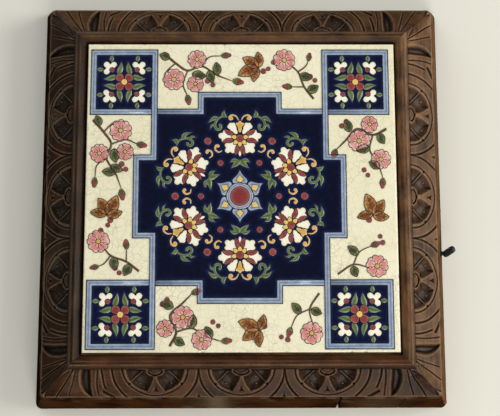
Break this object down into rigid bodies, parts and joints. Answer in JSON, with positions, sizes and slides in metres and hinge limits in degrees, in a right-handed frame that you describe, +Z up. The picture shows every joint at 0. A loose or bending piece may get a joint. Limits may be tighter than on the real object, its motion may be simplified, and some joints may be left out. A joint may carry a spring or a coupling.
{
  "type": "musical trivet",
  "caption": "Square musical trivet: glazed tile in a carved frame on a battered plinth, with a wind-up cylinder movement inside and a stop lever at the side.",
  "frame": {"origin": "on the table, under the centre of the tile", "axes": "+X towards the lever side, +Y towards the back, +Z up"},
  "size_m": [0.2811, 0.276, 0.047],
  "materials": {
    "glazed_tile": "crackle-glazed enamel relief on cream ground",
    "carved_wood": "dark stained, carved, waxed",
    "plinth_wood": "dark stained, worn",
    "board_wood": "raw plywood",
    "block_wood": "raw softwood",
    "brass_screws": "dull brass",
    "steel_screws": "zinc plated",
    "movement_brass": "pressed and polished",
    "movement_steel": "ground",
    "blued_steel": "blued",
    "bedplate_gilt": "gilt lacquer",
    "spring_steel": "oiled spring steel",
    "black_steel": "black lacquer",
    "black_plastic": "glossy moulded"
  },
  "bodies": {
    "case": {"tile": "glazed_tile", "tile_board": "board_wood", "board_screws": "brass_screws", "carved_rail_back": "carved_wood", "carved_rail_left": "carved_wood", "carved_rail_front": "carved_wood", "carved_rail_right": "carved_wood", "plinth_back": "plinth_wood", "plinth_left": "plinth_wood", "plinth_front_long": "plinth_wood", "plinth_front_short": "plinth_wood", "plinth_right": "plinth_wood", "corner_blocks": "block_wood", "base_board": "board_wood", "base_screws": "steel_screws", "bedplate": "bedplate_gilt", "bedplate_screws": "steel_screws", "cylinder_bracket_drive": "movement_brass", "cylinder_bracket_governor": "movement_brass", "bracket_screws": "steel_screws", "comb_base": "bedplate_gilt", "comb": "movement_steel", "comb_screws": "blued_steel", "governor_frame": "movement_brass", "governor_screw": "steel_screws", "barrel_bridge": "movement_brass", "bridge_screws": "steel_screws", "click_screw": "steel_screws", "lever_screw": "steel_screws"},
    "cylinder": {"music_cylinder": "movement_brass", "cylinder_arbor": "movement_steel", "cylinder_pinion": "movement_brass", "great_wheel": "movement_brass"},
    "barrel": {"barrel_drum": "movement_brass", "barrel_cover": "movement_brass", "mainspring": "spring_steel"},
    "winder": {"winding_arbor": "movement_steel", "ratchet_wheel": "movement_steel", "winding_key": "movement_brass", "arbor_clip": "movement_steel"},
    "governor": {"governor_arbor": "movement_steel", "governor_pinion": "movement_steel", "worm_wheel": "movement_brass"},
    "fan": {"worm_shaft": "movement_steel", "governor_fan": "movement_brass"},
    "click_pawl": {"click": "movement_steel"},
    "lever": {"stop_lever": "black_steel", "lever_pad": "black_plastic"}
  },
  "joints": [
    {"name": "cylinder_spin", "type": "hinge", "parent": "case", "child": "cylinder", "pos_m": [0.078, -0.037, 0.0255], "axis": [0, 1, 0], "continuous": true},
    {"name": "barrel_turn", "type": "hinge", "parent": "case", "child": "barrel", "pos_m": [0.078, -0.01, 0.02], "axis": [0, 0, 1], "continuous": true},
    {"name": "governor_turn", "type": "hinge", "parent": "case", "child": "governor", "pos_m": [0.0856, -0.0548, 0.0255], "axis": [0, 1, 0], "continuous": true},
    {"name": "fan_spin", "type": "hinge", "parent": "case", "child": "fan", "pos_m": [0.0916, -0.0548, 0.0255], "axis": [0, 0, 1], "continuous": true},
    {"name": "winding", "type": "hinge", "parent": "case", "child": "winder", "pos_m": [0.078, -0.01, 0.012], "axis": [0, 0, 1], "range_deg": [0, 1440]},
    {"name": "click_swing", "type": "hinge", "parent": "case", "child": "click_pawl", "pos_m": [0.06934, -0.0214, 0.015], "axis": [0, 0, 1], "range_deg": [-6, 0], "stiffness_Nm_per_rad": 0.0005},
    {"name": "lever_swing", "type": "hinge", "parent": "case", "child": "lever", "pos_m": [0.101, -0.034, 0.018], "axis": [0, 0, 1], "range_deg": [0, 14]}
  ],
  "couplings": [
    {"joint": "barrel_turn", "follows": "cylinder_spin", "ratio": -0.31818},
    {"joint": "governor_turn", "follows": "cylinder_spin", "ratio": -3.75},
    {"joint": "fan_spin", "follows": "cylinder_spin", "ratio": -90}
  ]
}
